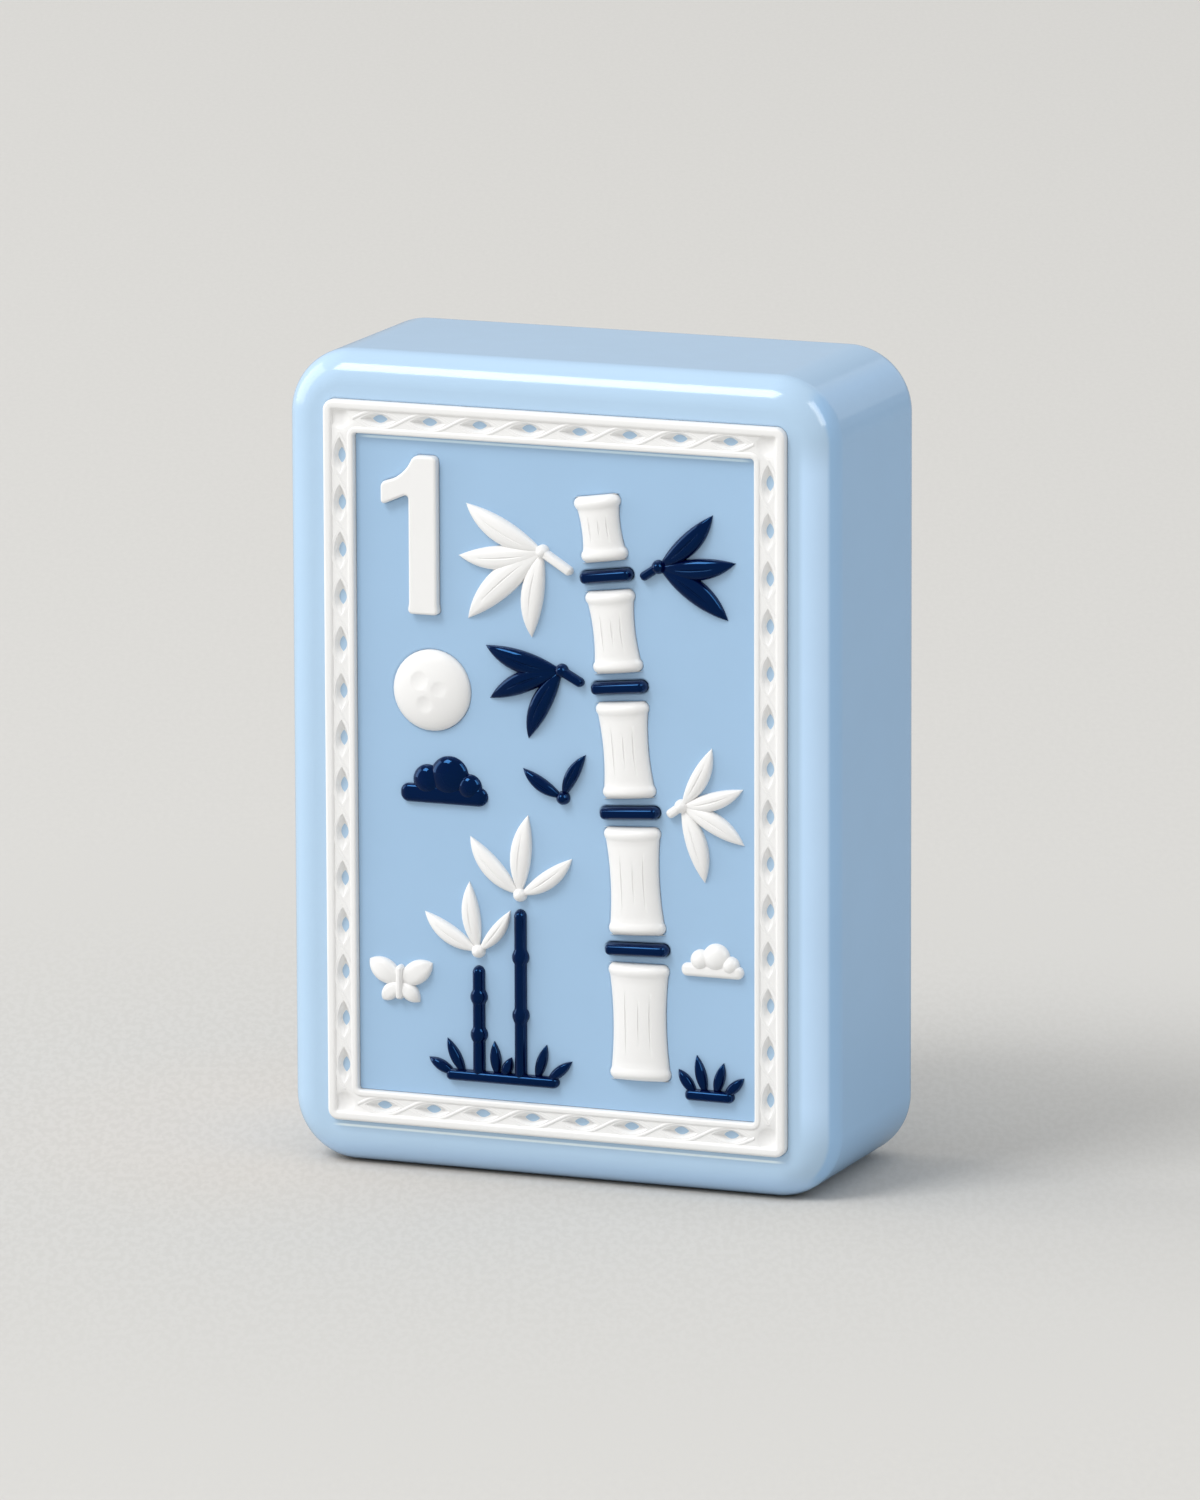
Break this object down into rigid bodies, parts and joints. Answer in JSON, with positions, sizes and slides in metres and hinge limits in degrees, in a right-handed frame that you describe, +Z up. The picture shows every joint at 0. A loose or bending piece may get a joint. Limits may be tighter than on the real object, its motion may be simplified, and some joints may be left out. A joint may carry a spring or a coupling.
{
  "type": "mahjong tile",
  "caption": "Upright rounded game tile in pale blue plastic with a white lace border, the numeral one and a bamboo picture in raised white and navy inlays.",
  "frame": {"origin": "centre of the bottom edge's footprint, on the plane that the tile stands on, midway between the back and the highest inlay", "axes": "+Z up along the tile's height, the face with its inlays towards -Y, +X to the right as the face is seen"},
  "size_m": [0.0212, 0.0096, 0.03],
  "materials": {
    "body_blue": "polished moulded plastic, pale sky blue",
    "inlay_white": "satin moulded plastic, warm white",
    "inlay_navy": "polished moulded plastic, dark navy"
  },
  "bodies": {
    "root": {"body": "body_blue", "lace_border": "inlay_white", "numeral_one": "inlay_white", "cane_segment_1": "inlay_white", "cane_segment_2": "inlay_white", "cane_segment_3": "inlay_white", "cane_segment_4": "inlay_white", "cane_segment_5": "inlay_white", "cane_ring_1": "inlay_navy", "cane_ring_2": "inlay_navy", "cane_ring_3": "inlay_navy", "cane_ring_4": "inlay_navy", "leaves_high_left": "inlay_white", "leaves_high_right": "inlay_navy", "leaves_low_left": "inlay_navy", "leaves_low_right": "inlay_white", "leaves_tall_shoot": "inlay_white", "leaves_short_shoot": "inlay_white", "young_shoots": "inlay_navy", "grass_tuft": "inlay_navy", "moon": "inlay_white", "dark_cloud": "inlay_navy", "pale_cloud": "inlay_white", "fallen_leaves": "inlay_navy", "butterfly": "inlay_white"}
  },
  "joints": []
}
